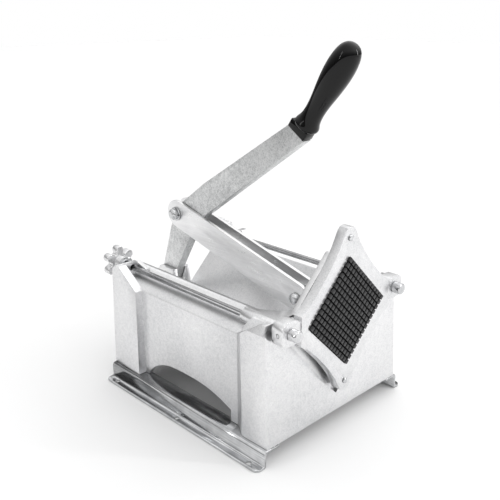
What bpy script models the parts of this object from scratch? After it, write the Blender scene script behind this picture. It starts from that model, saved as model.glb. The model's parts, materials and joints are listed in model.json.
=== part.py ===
"""Vegetable dicer: a lever press that pushes food through a square grid of blades.

The box-shaped housing stands on two mounting rails.  Its top is an open V trough.
A cranked lever at the back swings up and back, and two flat links carry its motion
to a pusher that slides along the trough.  The pusher's fingers pass through the
blade grid, which two long tie rods and two star knobs hold against the front.

+X is the right-hand side, -Y the front, +Z up.  Sizes below are in millimetres.
"""

import math

import bmesh
import bpy
from mathutils import Matrix, Vector

MM = 0.001

# ---------------------------------------------------------------- clearances
TOUCH_GAP = 0.3            # between pieces that touch
RUN_GAP = 0.5              # between pieces that slide or turn on each other
HOLE_GAP = 0.4             # radial play of a rod or bolt in its hole

# ---------------------------------------------------------------- housing
BASE_WIDTH = 222.0         # at the foot of the housing
BASE_LENGTH = 272.0
SIDE_DRAFT = 2.6           # how far each side leans in over DRAFT_HEIGHT
END_DRAFT = 6.4
DRAFT_HEIGHT = 125.0
FRONT = -BASE_LENGTH / 2   # front and rear faces at the foot
REAR = BASE_LENGTH / 2
WALL = 5.0
PANEL_RECESS = 11.0        # side panels stand back from the corner posts
PANEL_TOP = 130.0          # where the side panel meets the sloping shoulder
CORNER_TOP = 145.0         # flat tops of the front corners
REAR_POST_LENGTH = 50.0
FRONT_POST_LENGTH = 54.0
POST_BLEND = 24.0          # length of the curved step from panel to front post
TROUGH_VALLEY = 80.0       # height of the bottom of the V
RIM_X = 67.0               # half the distance between the two trough rims
FRONT_WALL_BACK = FRONT + 12.5
MOUTH_HALF = 63.9          # half diagonal of the square mouth in the front wall
NOTCH_BOTTOM = 41.0        # bottom of the V seat in the front wall
SEAT_FACE = FRONT + 6.6    # back of the V seat at its bottom
SEAT_LEAN = 2.7            # degrees the seat leans back
REAR_BLOCK_FRONT = REAR - 16.0# front face of the block that carries the rod's rear end
BLOCK_TOP = 153.0          # flat tops of the rod blocks, front and rear
WALL_TOP_BACK = FRONT + 22.5# rear edge of the front wall's thick top
GUSSET_BACK = FRONT + 61.0
ARCH_FRONT = FRONT + 66.5  # the arch's straight front side
ARCH_BACK = REAR - 57.0
ARCH_TOP = 48.0
ARCH_SIDE = 34.0           # height of the straight front side

# ---------------------------------------------------------------- rails
RAIL_HEIGHT = 20.0
RAIL_THICK = 2.5
RAIL_BEND = 3.5            # outer radius of the rail's bends
RAIL_OUTSET = 5.0          # web stands outside the foot of the housing
RAIL_FOOT = 11.5
RAIL_FLANGE = 16.0         # lies under the housing
RAIL_LENGTH = BASE_LENGTH + 1.0
FOOT_HOLE = 6.5
FOOT_CORNER = 7.0
FOOT_HOLE_PITCH = 119.0

# ---------------------------------------------------------------- blades
CELL = 6.35                # blade spacing
CELLS = 14
BLADE_THICK = 0.5
BLADE_DEPTH = 4.2
BLADE_EDGE = 4.0           # solid border of a blade set
OPENING_HEIGHT = 143.9     # centre of the blade opening above the table

# ---------------------------------------------------------------- blade frame
FRAME_FRONT = FRONT - 10.0
FRAME_THICK = 11.0
FRAME_TIP = 94.5           # from the centre to the top and bottom tips
FRAME_RIM_WALL = 3.0
FRAME_RIM_BACK = FRONT + 6.1
EAR_BACK = FRONT + 5.3
EAR_RADIUS = 13.0          # half the width and height of an ear
EAR_CORNER = 8.0
BLADE_SCREW_OFFSET = 82.5
BLADE_SCREW = 4.0

# ---------------------------------------------------------------- tie rods
ROD_X = BASE_WIDTH / 2 - 24.0
BLOCK_INNER = ROD_X - 7.5  # inner faces of the rod blocks
ROD_Z = 146.8
ROD = 7.0
ROD_HEAD = 13.0
ROD_HEAD_LENGTH = 9.5
SLEEVE = 15.0
SLEEVE_BACK = FRONT + 57.0
KNOB_RADIUS = 21.0
KNOB_THICK = 10.0
KNOB_LOBES = 6
KNOB_LOBE = 5.2            # radius of a lobe's round end
KNOB_WAIST = 12.2          # radius between two lobes
KNOB_HUB = 17.0
KNOB_HUB_LENGTH = 10.0
WASHER = 20.0
WASHER_THICK = 1.6

# ---------------------------------------------------------------- pusher
FINGER_GAP = 1.75          # clear width between two fingers, where a blade passes
FINGER = CELL - FINGER_GAP
FINGER_TIP = FRONT - 12.2
FINGER_BACK = FRONT + 10.0
FINGER_PLATE = 4.0
HEAD_THICK = 7.0
HEAD_SCREW = 4.0
HEAD_SCREW_PITCH = 44.0
PUSH_PIN_Y = FRONT + 53.0
PUSH_PIN = 8.0
PIN_DRIFT_Y = 10.5         # how far the open pivot lets the pin move back

# ---------------------------------------------------------------- lever and links
LINK_HEIGHT = 35.0
LINK_THICK = 4.4
ELBOW_Z = 199.0
ELBOW_BOLT = 8.0
ELBOW_HEAD = 14.0
PIVOT_Y = REAR + 20.0
ELBOW_Y = PIVOT_Y - 30.0
PIVOT_Z = 104.0
PIVOT_PIN = 10.0
LEVER_HALF = 6.5
LINK_INNER = LEVER_HALF + RUN_GAP
LUG_HALF = LINK_INNER - RUN_GAP - 0.1  # the pusher's lug fits between the links
GRIP_Y = ELBOW_Y - 204.0   # where the grip's axis leaves the arm
GRIP_Z = 327.0
GRIP_PITCH = 55.0          # degrees above level
ARM_ROOT = 38.0
ARM_END = 26.0
ARM_END_SHIFT = 3.0        # the arm's end reaches further up than down
ARM_END_BACK = 4.0         # the arm ends this far short of the grip's origin
FERRULE = 10.5
FERRULE_WIDTH = 15.0
LUG_THICK = 6.2
LUG_TOP = 119.5
LUG_REACH = 33.0

OPENING = CELL * CELLS
PANEL_X = BASE_WIDTH / 2 - PANEL_RECESS
HOUSING_FOOT = RAIL_HEIGHT + TOUCH_GAP
HOUSING_BACK = BASE_LENGTH / 2
BLADE_SET = OPENING + 2 * BLADE_EDGE
RIM_INNER = BLADE_SET + 2 * TOUCH_GAP
RIM_OUTER = RIM_INNER + 2 * FRAME_RIM_WALL


# ================================================================ helpers
def material(name, colour, roughness, metallic):
    mat = bpy.data.materials.new(name)
    mat.use_nodes = True
    shader = mat.node_tree.nodes["Principled BSDF"]
    shader.inputs["Base Color"].default_value = (*colour, 1.0)
    shader.inputs["Roughness"].default_value = roughness
    shader.inputs["Metallic"].default_value = metallic
    mat.diffuse_color = (*colour, 1.0)
    return mat


def place(obj, collection, mat=None):
    collection.objects.link(obj)
    if mat is not None:
        obj.data.materials.clear()
        obj.data.materials.append(mat)
    return obj


def from_bmesh(name, bm):
    mesh = bpy.data.meshes.new(name)
    bm.to_mesh(mesh)
    bm.free()
    return bpy.data.objects.new(name, mesh)


def box(name, low, high):
    """A box between two corners given in millimetres."""
    bm = bmesh.new()
    bmesh.ops.create_cube(bm, size=1.0)
    low = Vector(low) * MM
    high = Vector(high) * MM
    bmesh.ops.scale(bm, vec=high - low, verts=bm.verts)
    bmesh.ops.translate(bm, vec=(low + high) / 2, verts=bm.verts)
    return from_bmesh(name, bm)


AXIS_TURN = {
    "X": Matrix.Rotation(math.radians(90), 4, "Y"),
    "Y": Matrix.Rotation(math.radians(-90), 4, "X"),
    "Z": Matrix.Identity(4),
}


def rod(name, axis, centre, radius, start, end, sides=32, radius_end=None):
    """A cylinder or cone along an axis, from start to end on that axis."""
    bm = bmesh.new()
    tip = radius if radius_end is None else radius_end
    bmesh.ops.create_cone(
        bm,
        cap_ends=True,
        segments=sides,
        radius1=radius * MM,
        radius2=tip * MM,
        depth=abs(end - start) * MM,
    )
    spot = list(centre)
    spot["XYZ".index(axis)] = (start + end) / 2
    turn = AXIS_TURN[axis]
    bmesh.ops.transform(bm, matrix=Matrix.Translation(Vector(spot) * MM) @ turn, verts=bm.verts)
    return from_bmesh(name, bm)


PLANE_TURN = {
    # outline given as (x, z), thickness along Y
    "Y": Matrix(((1, 0, 0, 0), (0, 0, -1, 0), (0, 1, 0, 0), (0, 0, 0, 1))),
    # outline given as (y, z), thickness along X
    "X": Matrix(((0, 0, 1, 0), (1, 0, 0, 0), (0, 1, 0, 0), (0, 0, 0, 1))),
    # outline given as (x, y), thickness along Z
    "Z": Matrix.Identity(4),
}


def plate(name, axis, outline, start, end, holes=()):
    """A flat outline with optional holes, given thickness along an axis."""
    curve = bpy.data.curves.new(name, "CURVE")
    curve.dimensions = "2D"
    curve.fill_mode = "BOTH"
    curve.extrude = abs(end - start) / 2 * MM
    for loop in (outline, *holes):
        spline = curve.splines.new("POLY")
        spline.points.add(len(loop) - 1)
        for point, (u, v) in zip(spline.points, loop):
            point.co = (u * MM, v * MM, 0.0, 1.0)
        spline.use_cyclic_u = True
    source = bpy.data.objects.new(name + "_outline", curve)
    bpy.context.scene.collection.objects.link(source)
    bpy.context.view_layer.update()
    graph = bpy.context.evaluated_depsgraph_get()
    mesh = bpy.data.meshes.new_from_object(source.evaluated_get(graph))
    bpy.data.objects.remove(source, do_unlink=True)
    bpy.data.curves.remove(curve)
    bm = bmesh.new()
    bm.from_mesh(mesh)
    bpy.data.meshes.remove(mesh)
    bmesh.ops.remove_doubles(bm, verts=bm.verts, dist=0.00001)
    middle = Vector((0.0, 0.0, 0.0))
    middle["XYZ".index(axis)] = (start + end) / 2 * MM
    turn = Matrix.Translation(middle) @ PLANE_TURN[axis]
    bmesh.ops.transform(bm, matrix=turn, verts=bm.verts)
    bmesh.ops.recalc_face_normals(bm, faces=bm.faces)
    return from_bmesh(name, bm)


def turned(name, axis, centre, profile, steps=32):
    """A solid of revolution: profile points (radius, along) spun about an axis."""
    bm = bmesh.new()
    verts = [bm.verts.new((radius * MM, 0.0, along * MM)) for radius, along in profile]
    for first, second in zip(verts, verts[1:]):
        bm.edges.new((first, second))
    obj = from_bmesh(name, bm)
    screw = obj.modifiers.new("Turn", "SCREW")
    screw.steps = steps
    screw.render_steps = steps
    screw.use_merge_vertices = True
    screw.merge_threshold = 0.00001
    screw.use_normal_calculate = True
    turn = AXIS_TURN[axis]
    return bake(obj, Matrix.Translation(Vector(centre) * MM) @ turn)


def bake(obj, matrix=None):
    """Applies an object's modifiers, and moves its mesh by a matrix."""
    bpy.context.scene.collection.objects.link(obj)
    bpy.context.view_layer.update()
    graph = bpy.context.evaluated_depsgraph_get()
    mesh = bpy.data.meshes.new_from_object(obj.evaluated_get(graph))
    bpy.context.scene.collection.objects.unlink(obj)
    obj.modifiers.clear()
    obj.data = mesh
    if matrix is not None:
        mesh.transform(matrix)
    bm = bmesh.new()
    bm.from_mesh(mesh)
    bmesh.ops.remove_doubles(bm, verts=bm.verts, dist=0.00001)
    bmesh.ops.recalc_face_normals(bm, faces=bm.faces)
    bm.to_mesh(mesh)
    bm.free()
    return obj


def combine(base, pieces, operation):
    """Joins, cuts or trims one solid with others, one after the other."""
    for piece in pieces:
        bpy.context.scene.collection.objects.link(piece)
        boolean = base.modifiers.new(operation.title(), "BOOLEAN")
        boolean.operation = operation
        boolean.solver = "EXACT"
        boolean.object = piece
    bake(base)
    for piece in pieces:
        bpy.data.objects.remove(piece, do_unlink=True)
    return base


def join(base, *pieces):
    return combine(base, pieces, "UNION")


def cut(base, *pieces):
    return combine(base, pieces, "DIFFERENCE")


def trim(base, *pieces):
    return combine(base, pieces, "INTERSECT")


def soften(obj, width, segments=2, angle=35.0):
    """A rounded edge, as a live Bevel."""
    bevel = obj.modifiers.new("Bevel", "BEVEL")
    bevel.width = width * MM
    bevel.segments = segments
    bevel.limit_method = "ANGLE"
    bevel.angle_limit = math.radians(angle)
    bevel.use_clamp_overlap = True
    return obj


def smooth(obj, angle=40.0):
    mesh = obj.data
    for face in mesh.polygons:
        face.use_smooth = True
    mesh.set_sharp_from_angle(angle=math.radians(angle))
    return obj


def arc(centre, radius, start, end, steps):
    """Points along an arc, angles in degrees."""
    points = []
    for step in range(steps + 1):
        angle = math.radians(start + (end - start) * step / steps)
        points.append((centre[0] + radius * math.cos(angle), centre[1] + radius * math.sin(angle)))
    return points


def circle(centre, radius, steps=24):
    return arc(centre, radius, 0.0, 360.0 - 360.0 / steps, steps - 1)


def mirrored(outline):
    return [(-u, v) for u, v in reversed(outline)]


def turned_point(origin, offset, degrees):
    angle = math.radians(degrees)
    u = offset[0] * math.cos(angle) - offset[1] * math.sin(angle)
    v = offset[0] * math.sin(angle) + offset[1] * math.cos(angle)
    return (origin[0] + u, origin[1] + v)


def diamond(half_side, corner=0.0):
    """A square standing on its corner, centred on the blade opening (x, z)."""
    points = []
    for quarter in range(4):
        turn = 45.0 + 90.0 * quarter
        if corner > 0.0:
            inner = half_side - corner
            for u, v in arc((inner, inner), corner, 0.0, 90.0, 4):
                points.append(turned_point((0.0, OPENING_HEIGHT), (u, v), turn))
        else:
            points.append(turned_point((0.0, OPENING_HEIGHT), (half_side, half_side), turn))
    return points


# ================================================================ scene
for old in list(bpy.data.objects):
    bpy.data.objects.remove(old, do_unlink=True)

dicer = bpy.data.collections.new("vegetable_dicer")
bpy.context.scene.collection.children.link(dicer)

CAST = material("cast_aluminium", (0.72, 0.73, 0.74), 0.42, 1.0)
POLISHED = material("polished_steel", (0.78, 0.79, 0.80), 0.12, 1.0)
SHEET = material("rail_aluminium", (0.62, 0.63, 0.64), 0.25, 1.0)
BLADE = material("blade_steel", (0.60, 0.61, 0.63), 0.2, 1.0)
BLACK = material("gloss_black_plastic", (0.012, 0.012, 0.013), 0.12, 0.0)
FINGER_BLACK = material("matte_black_plastic", (0.02, 0.02, 0.021), 0.5, 0.0)


# the whole dicer is moved so that the middle of its outline lies on the origin
FRONT_END = FRAME_FRONT - ROD_HEAD_LENGTH
BACK_END = HOUSING_BACK + LUG_REACH
CENTRE_SHIFT = Matrix.Translation((0.0, -(FRONT_END + BACK_END) / 2 * MM, 0.0))


def add(obj, mat):
    obj.data.transform(CENTRE_SHIFT)
    return place(obj, dicer, mat)


# ================================================================ housing
def drafted_envelope():
    """The outer block of the housing, its four sides leaning in."""
    top = BLOCK_TOP
    bm = bmesh.new()
    bmesh.ops.create_cube(bm, size=2.0)
    lean = (top - HOUSING_FOOT) / DRAFT_HEIGHT
    for vert in bm.verts:
        upper = vert.co.z > 0
        half_x = BASE_WIDTH / 2 - (SIDE_DRAFT * lean if upper else 0.0)
        front = BASE_LENGTH / 2 - (END_DRAFT * lean if upper else 0.0)
        back = BASE_LENGTH / 2 - (SIDE_DRAFT * lean if upper else 0.0)
        half_y = front if vert.co.y < 0 else back
        vert.co.x = math.copysign(half_x * MM, vert.co.x)
        vert.co.y = math.copysign(half_y * MM, vert.co.y)
        vert.co.z = (top if upper else HOUSING_FOOT) * MM
    return from_bmesh("envelope", bm)


def trough_section():
    """Half of the M-shaped cross-section: trough, shoulder and side panel."""
    slant = WALL * math.sqrt(2.0)
    rim_z = TROUGH_VALLEY + RIM_X
    outer = [
        (0.0, TROUGH_VALLEY),
        (RIM_X - 1.5, rim_z - 1.5),
        (RIM_X, rim_z),
        (RIM_X + 2.5, rim_z),
        (PANEL_X - 1.0, PANEL_TOP + 0.4),
        (PANEL_X, PANEL_TOP - 0.8),
        (PANEL_X, 0.0),
        (PANEL_X - WALL, 0.0),
        (PANEL_X - WALL, PANEL_TOP - WALL + 1.5),
        (RIM_X + 2.5, rim_z - WALL - 1.2),
        (0.0, TROUGH_VALLEY - slant),
    ]
    return outer


def build_housing():
    top_z = TROUGH_VALLEY + RIM_X
    half = trough_section()
    outline = half + [(-u, v) for u, v in reversed(half[1:-1])]
    far = BASE_LENGTH / 2 + 20.0
    body = plate("housing", "Y", outline, FRONT_WALL_BACK - 1.0, far)

    shell = []
    # front wall with its thick top edge
    shell.append(box("front_wall", (-BASE_WIDTH, -far, 0), (BASE_WIDTH, FRONT_WALL_BACK, BLOCK_TOP + 12.0)))
    low = (-BLOCK_INNER - 4.0, FRONT_WALL_BACK - 2.0, top_z - 9.0)
    high = (BLOCK_INNER + 4.0, WALL_TOP_BACK, BLOCK_TOP + 10.0)
    shell.append(box("wall_top", low, high))
    # back wall, closed up to the trough
    back = [
        (-PANEL_X + 1, 0),
        (PANEL_X - 1, 0),
        (PANEL_X - 1, PANEL_TOP - 6),
        (RIM_X + 2, top_z - 4),
        (RIM_X, top_z - 4),
        (0, TROUGH_VALLEY - 4),
        (-RIM_X, top_z - 4),
        (-RIM_X - 2, top_z - 4),
        (-PANEL_X + 1, PANEL_TOP - 6),
    ]
    shell.append(plate("back_wall", "Y", back, HOUSING_BACK - WALL - 3.0, far))
    for side in (-1, 1):
        shell += corner_solids(side, far)
    join(body, *shell)
    trim(body, drafted_envelope())
    late = []
    for side in (-1, 1):
        late.append(pivot_lug(side))
        spot = (side * ROD_X, 0.0, ROD_Z)
        late.append(rod("sleeve", "Y", spot, SLEEVE / 2, EAR_BACK + RUN_GAP, SLEEVE_BACK, 28))
    join(body, *late)
    cut(body, *housing_cuts())
    return add(smooth(body, 30.0), CAST)


def corner_solids(side, far):
    """Posts, rod blocks and gussets of one side."""
    solids = []
    top_z = TROUGH_VALLEY + RIM_X
    # front corner post, easing into the recessed panel behind it
    front = -BASE_LENGTH / 2
    step = front + FRONT_POST_LENGTH
    blend = []
    for count in range(9):
        share = count / 8
        ease = share * share * (3.0 - 2.0 * share)
        across = BASE_WIDTH / 2 + 0.5 - (PANEL_RECESS + 0.8) * ease
        blend.append((side * across, step + 4.0 - POST_BLEND * (1.0 - share)))
    post = [
        (side * (PANEL_X - WALL), -far),
        (side * (BASE_WIDTH / 2 + 39.0), -far),
        (side * (BASE_WIDTH / 2 + 39.0), step - 40.0),
        *blend,
        (side * (PANEL_X - WALL), step + 4.0),
    ]
    solids.append(plate("front_post", "Z", post, 0.0, PANEL_TOP - 0.5))
    profile = [
        (-far, PANEL_TOP - 4.0),
        (step + 10.0, PANEL_TOP - 4.0),
        (step + 4.0, PANEL_TOP - 1.0),
        (step, PANEL_TOP + 1.5),
        (step - 12.0, BLOCK_TOP - 15.0),
        (step - 26.0, BLOCK_TOP - 5.5),
        (step - 35.0, BLOCK_TOP),
        (step - 36.0, BLOCK_TOP + 8.0),
        (-far, BLOCK_TOP + 8.0),
    ]
    start, end = sorted((side * (PANEL_X - WALL - 1.0), side * (BASE_WIDTH / 2 + 39.0)))
    ramp = plate("front_ramp", "X", profile, start, end)
    solids.append(trim(ramp, plate("post_plan", "Z", post, 100.0, 200.0)))
    # block that carries the sleeve
    inner = side * BLOCK_INNER
    low = PANEL_TOP - 4.0
    profile = [
        (-far, low),
        (SLEEVE_BACK - 4.0, low),
        (SLEEVE_BACK - 4.0, PANEL_TOP + 6.0),
        (SLEEVE_BACK - 20.0, BLOCK_TOP),
        (SLEEVE_BACK - 21.0, BLOCK_TOP + 6.0),
        (-far, BLOCK_TOP + 6.0),
    ]
    start, end = sorted((inner, side * (PANEL_X - WALL + 0.3)))
    solids.append(plate("sleeve_block", "X", profile, start, end))
    # gusset between the sleeve and the front wall, with a hollow edge
    wide = BLOCK_INNER - (MOUTH_HALF - BLOCK_TOP + OPENING_HEIGHT)
    deep = GUSSET_BACK - WALL_TOP_BACK
    hollow = []
    for count in range(13):
        angle = math.radians(90.0 * count / 12)
        across = BLOCK_INNER - wide * (1.0 - math.cos(angle) ** 1.33)
        hollow.append((side * across, GUSSET_BACK - deep * math.sin(angle) ** 1.33))
    gusset = [(side * (BLOCK_INNER + 4.0), GUSSET_BACK)] + hollow
    gusset += [(hollow[-1][0], FRONT_WALL_BACK - 2.0), (side * (BLOCK_INNER + 4.0), FRONT_WALL_BACK - 2.0)]
    solids.append(plate("gusset", "Z", gusset, top_z - 0.5, BLOCK_TOP + 4.0))
    # rear corner post: a prism that ramps up to the rod's rear block
    rear_front = BASE_LENGTH / 2 - REAR_POST_LENGTH
    top = BLOCK_TOP + 0.5
    profile = [
        (rear_front, 0.0),
        (rear_front, PANEL_TOP - 0.6),
        (REAR_BLOCK_FRONT, top),
        (REAR_BLOCK_FRONT + 6.0, top),
        (HOUSING_BACK - 4.0, top - 4.0),
        (HOUSING_BACK - 1.2, top - 9.0),
        (far, top - 12.0),
        (far, 0.0),
    ]
    start, end = sorted((side * (PANEL_X - 2.5), side * (BASE_WIDTH / 2 + 39.0)))
    solids.append(plate("rear_post", "X", profile, start, end))
    profile = [
        (REAR_BLOCK_FRONT, PANEL_TOP - 8.0),
        (REAR_BLOCK_FRONT, top),
        (REAR_BLOCK_FRONT + 6.0, top),
        (HOUSING_BACK - 4.0, top - 4.0),
        (HOUSING_BACK - 1.2, top - 9.0),
        (far, top - 12.0),
        (far, PANEL_TOP - 8.0),
    ]
    start, end = sorted((side * BLOCK_INNER, side * (BASE_WIDTH / 2 + 39.0)))
    solids.append(plate("rear_block", "X", profile, start, end))
    # small gusset that runs from the rear block down to the trough's rim
    profile = [
        (REAR_BLOCK_FRONT - 18.0, top_z - 3.0),
        (REAR_BLOCK_FRONT - 18.0, top_z),
        (REAR_BLOCK_FRONT + 1.0, top - 0.5),
        (HOUSING_BACK - 3.0, top - 5.0),
        (HOUSING_BACK - 3.0, top_z - 3.0),
    ]
    start, end = sorted((side * (BLOCK_INNER - 5.0), side * (BLOCK_INNER + 1.0)))
    solids.append(plate("rear_gusset", "X", profile, start, end))
    start, end = sorted((side * (RIM_X + 1.0), side * (BLOCK_INNER + 1.0)))
    low = (start, HOUSING_BACK - 8.0, PANEL_TOP - 8.0)
    solids.append(box("rear_rim", low, (end, far, top_z - 0.2)))
    return solids


def pivot_lug(side):
    """One of the two ears behind the back wall that carry the lever's pivot."""
    near = LEVER_HALF + RUN_GAP + 0.3
    reach = HOUSING_BACK + LUG_REACH
    outline = [
        (HOUSING_BACK - 6.0, 70.0),
        (HOUSING_BACK - 1.0, 70.0),
        (reach - 4.0, PIVOT_Z - 15.0),
        (reach, PIVOT_Z - 9.0),
        (reach, LUG_TOP - 8.0),
        (reach - 6.0, LUG_TOP),
        (HOUSING_BACK - 1.0, LUG_TOP),
        (HOUSING_BACK - 6.0, TROUGH_VALLEY + 6.0),
    ]
    start, end = sorted((side * near, side * (near + LUG_THICK)))
    return plate("pivot_lug", "X", outline, start, end)


def housing_cuts():
    cuts = []
    # V seat in the front wall, leaning back a little
    rise = (CORNER_TOP - NOTCH_BOTTOM) / (BASE_WIDTH / 2 - SIDE_DRAFT)
    beyond = BASE_WIDTH / 2 + 19.0
    seat = [
        (0.0, NOTCH_BOTTOM),
        (beyond, NOTCH_BOTTOM + beyond * rise),
        (beyond, CORNER_TOP + 60.0),
        (-beyond, CORNER_TOP + 60.0),
        (-beyond, NOTCH_BOTTOM + beyond * rise),
    ]
    seat_cut = plate("seat_cut", "Y", seat, -40.0, 0.0)
    pivot = Vector((0.0, 0.0, NOTCH_BOTTOM)) * MM
    lean = Matrix.Translation(pivot) @ Matrix.Rotation(math.radians(-SEAT_LEAN), 4, "X")
    lean = lean @ Matrix.Translation(-pivot)
    seat_cut.data.transform(Matrix.Translation((0.0, SEAT_FACE * MM, 0.0)) @ lean)
    cuts.append(seat_cut)
    # square mouth through the front wall, open at the top
    lip = BLOCK_TOP + 20.0
    narrow = MOUTH_HALF - (BLOCK_TOP - OPENING_HEIGHT)
    mouth = [
        (0.0, TROUGH_VALLEY),
        (MOUTH_HALF, OPENING_HEIGHT),
        (narrow, BLOCK_TOP),
        (narrow, lip),
        (-narrow, lip),
        (-narrow, BLOCK_TOP),
        (-MOUTH_HALF, OPENING_HEIGHT),
    ]
    cuts.append(plate("mouth", "Y", mouth, FRONT - 24.0, GUSSET_BACK - 10.0))
    # arches low in the side panels
    arch = [(ARCH_BACK, HOUSING_FOOT - 5.0), (ARCH_FRONT, HOUSING_FOOT - 5.0), (ARCH_FRONT, ARCH_SIDE)]
    for count in range(1, 8):
        share = 1.0 - count / 8
        arch.append((ARCH_FRONT * share, ARCH_TOP - (ARCH_TOP - ARCH_SIDE) * share ** 2.25))
    foot = HOUSING_FOOT + 1.0
    for count in range(12):
        share = math.sin(math.radians(90.0 * count / 12))
        arch.append((ARCH_BACK * share, foot + (ARCH_TOP - foot) * (1.0 - share ** 3.5) ** 0.87))
    arch.append((ARCH_BACK, foot))
    cuts.append(plate("arches", "X", arch, -PANEL_X - 30.0, PANEL_X + 30.0))
    for side in (-1, 1):
        spot = (side * ROD_X, 0.0, ROD_Z)
        cuts.append(rod("rod_bore", "Y", spot, ROD / 2 + HOLE_GAP, -BASE_LENGTH, BASE_LENGTH, 24))
        # the block's top edge falls away outwards
        outer = BASE_WIDTH / 2
        fall = [
            (side * (outer - 9.0), BLOCK_TOP),
            (side * (outer + 30.0), BLOCK_TOP + 5.0),
            (side * (outer + 30.0), BLOCK_TOP - 60.0),
            (side * (outer + 1.5), BLOCK_TOP - 14.0),
        ]
        cuts.append(plate("corner_fall", "Y", fall, FRONT - 24.0, SLEEVE_BACK - 20.0))
    cuts.append(rod("pivot_bore", "X", (0, PIVOT_Y, PIVOT_Z), PIVOT_PIN / 2 + TOUCH_GAP, -40.0, 40.0, 28))
    return cuts


build_housing()


# ================================================================ rails
def build_rail(side, label):
    """A bent strip: flange under the housing, web down, foot out."""
    web_out = BASE_WIDTH / 2 + RAIL_OUTSET
    web_in = web_out - RAIL_THICK
    foot_out = web_out + RAIL_FOOT
    flange_in = web_out - RAIL_FLANGE - RAIL_OUTSET
    tight = RAIL_BEND - RAIL_THICK
    outline = [(flange_in, RAIL_HEIGHT - RAIL_THICK)]
    outline += arc((web_in - tight, RAIL_HEIGHT - RAIL_THICK - tight), tight, 90.0, 0.0, 3)
    outline += arc((web_in + RAIL_BEND, RAIL_BEND), RAIL_BEND, 180.0, 270.0, 4)
    outline += [(foot_out, 0.0), (foot_out, RAIL_THICK)]
    outline += arc((web_out + tight, RAIL_THICK + tight), tight, 270.0, 180.0, 3)
    outline += arc((web_out - RAIL_BEND, RAIL_HEIGHT - RAIL_BEND), RAIL_BEND, 0.0, 90.0, 4)
    outline.append((flange_in, RAIL_HEIGHT))
    if side < 0:
        outline = mirrored(outline)
    rail = plate("rail_" + label, "Y", outline, -RAIL_LENGTH / 2, RAIL_LENGTH / 2)
    holes = []
    hole_x = side * (web_out + RAIL_FOOT / 2)
    for along in (-FOOT_HOLE_PITCH, 0.0, FOOT_HOLE_PITCH):
        holes.append(rod("hole", "Z", (hole_x, along, 0.0), FOOT_HOLE / 2, -2.0, RAIL_THICK + 2.0, 20))
    # rounded corners of the foot
    end = RAIL_LENGTH / 2
    inner = web_out - 40.0
    radius = FOOT_CORNER
    corners = [(inner, -end), (foot_out - radius, -end)]
    corners += arc((foot_out - radius, -end + radius), radius, -90.0, 0.0, 5)[1:]
    corners += arc((foot_out - radius, end - radius), radius, 0.0, 90.0, 5)
    corners.append((inner, end))
    if side < 0:
        corners = mirrored(corners)
    trim(rail, plate("rail_plan", "Z", corners, -10.0, RAIL_HEIGHT + 10.0))
    cut(rail, *holes)
    return add(rail, SHEET)


for label, side in (("left", -1), ("right", 1)):
    build_rail(side, label)


# ================================================================ blade frame
def frame_outline():
    """Four-pointed plate with hollow sides, tips up and down, ears at the rods."""
    reach = ROD_X - 14.0
    quarter = [
        (reach, 16.5),
        (63.0, 22.5),
        (50.0, 34.5),
        (38.0, 47.0),
        (27.0, 60.0),
        (17.0, 74.0),
        (10.5, 86.0),
        (8.0, 90.5),
        (4.5, 93.6),
        (0.0, FRAME_TIP),
    ]
    upper = quarter + [(-u, v) for u, v in reversed(quarter[:-1])]
    lower = [(-u, -v) for u, v in upper]
    return [(u, OPENING_HEIGHT + v) for u, v in upper + lower]


def build_frame():
    back = FRAME_FRONT + FRAME_THICK
    frame = plate("blade_frame", "Y", frame_outline(), FRAME_FRONT, back)
    rim = plate("rim", "Y", diamond(RIM_OUTER / 2, 3.0), FRAME_FRONT + 4.0, FRAME_RIM_BACK)
    ears = []
    for side in (-1, 1):
        spot = (side * ROD_X, 0.0, ROD_Z)
        inner = EAR_RADIUS - EAR_CORNER
        outline = []
        for quarter, (u, v) in enumerate(((1, 1), (-1, 1), (-1, -1), (1, -1))):
            corner = (spot[0] + u * inner, ROD_Z + v * inner)
            outline += arc(corner, EAR_CORNER, 90.0 * quarter, 90.0 * quarter + 90.0, 6)
        ears.append(plate("ear", "Y", outline, FRAME_FRONT + 1.0, EAR_BACK))
        low = (min(side * (ROD_X - 16.0), side * ROD_X), FRAME_FRONT + 1.4, ROD_Z - EAR_RADIUS + 0.8)
        high = (max(side * (ROD_X - 16.0), side * ROD_X), EAR_BACK - 0.4, ROD_Z + EAR_RADIUS - 4.0)
        ears.append(box("ear_web", low, high))
    join(frame, rim, *ears)
    cuts = []
    cuts.append(plate("opening", "Y", diamond(OPENING / 2, 2.0), FRAME_FRONT - 5.0, FRAME_RIM_BACK + 5.0))
    recess_floor = FRAME_RIM_BACK - 2 * BLADE_DEPTH - 2 * TOUCH_GAP
    cuts.append(plate("recess", "Y", diamond(RIM_INNER / 2), recess_floor, FRAME_RIM_BACK + 5.0))
    for side in (-1, 1):
        spot = (side * ROD_X, 0.0, ROD_Z)
        cuts.append(rod("rod_bore", "Y", spot, ROD / 2 + HOLE_GAP, FRONT - 34.0, FRONT + 26.0, 24))
        spot = (0.0, 0.0, OPENING_HEIGHT + side * BLADE_SCREW_OFFSET)
        cuts.append(rod("screw_bore", "Y", spot, BLADE_SCREW / 2 + HOLE_GAP, FRONT - 34.0, FRONT + 26.0, 16))
    for side in (-1, 1):
        start, end = sorted((side * (ROD_X + 5.0), side * (ROD_X + 30.0)))
        spot = (0.0, (FRAME_FRONT + EAR_BACK) / 2, ROD_Z)
        cuts.append(rod("set_screw_bore", "X", spot, 2.0 + HOLE_GAP, start, end, 12))
    cut(frame, *cuts)
    return add(smooth(frame, 30.0), CAST)


build_frame()


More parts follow.
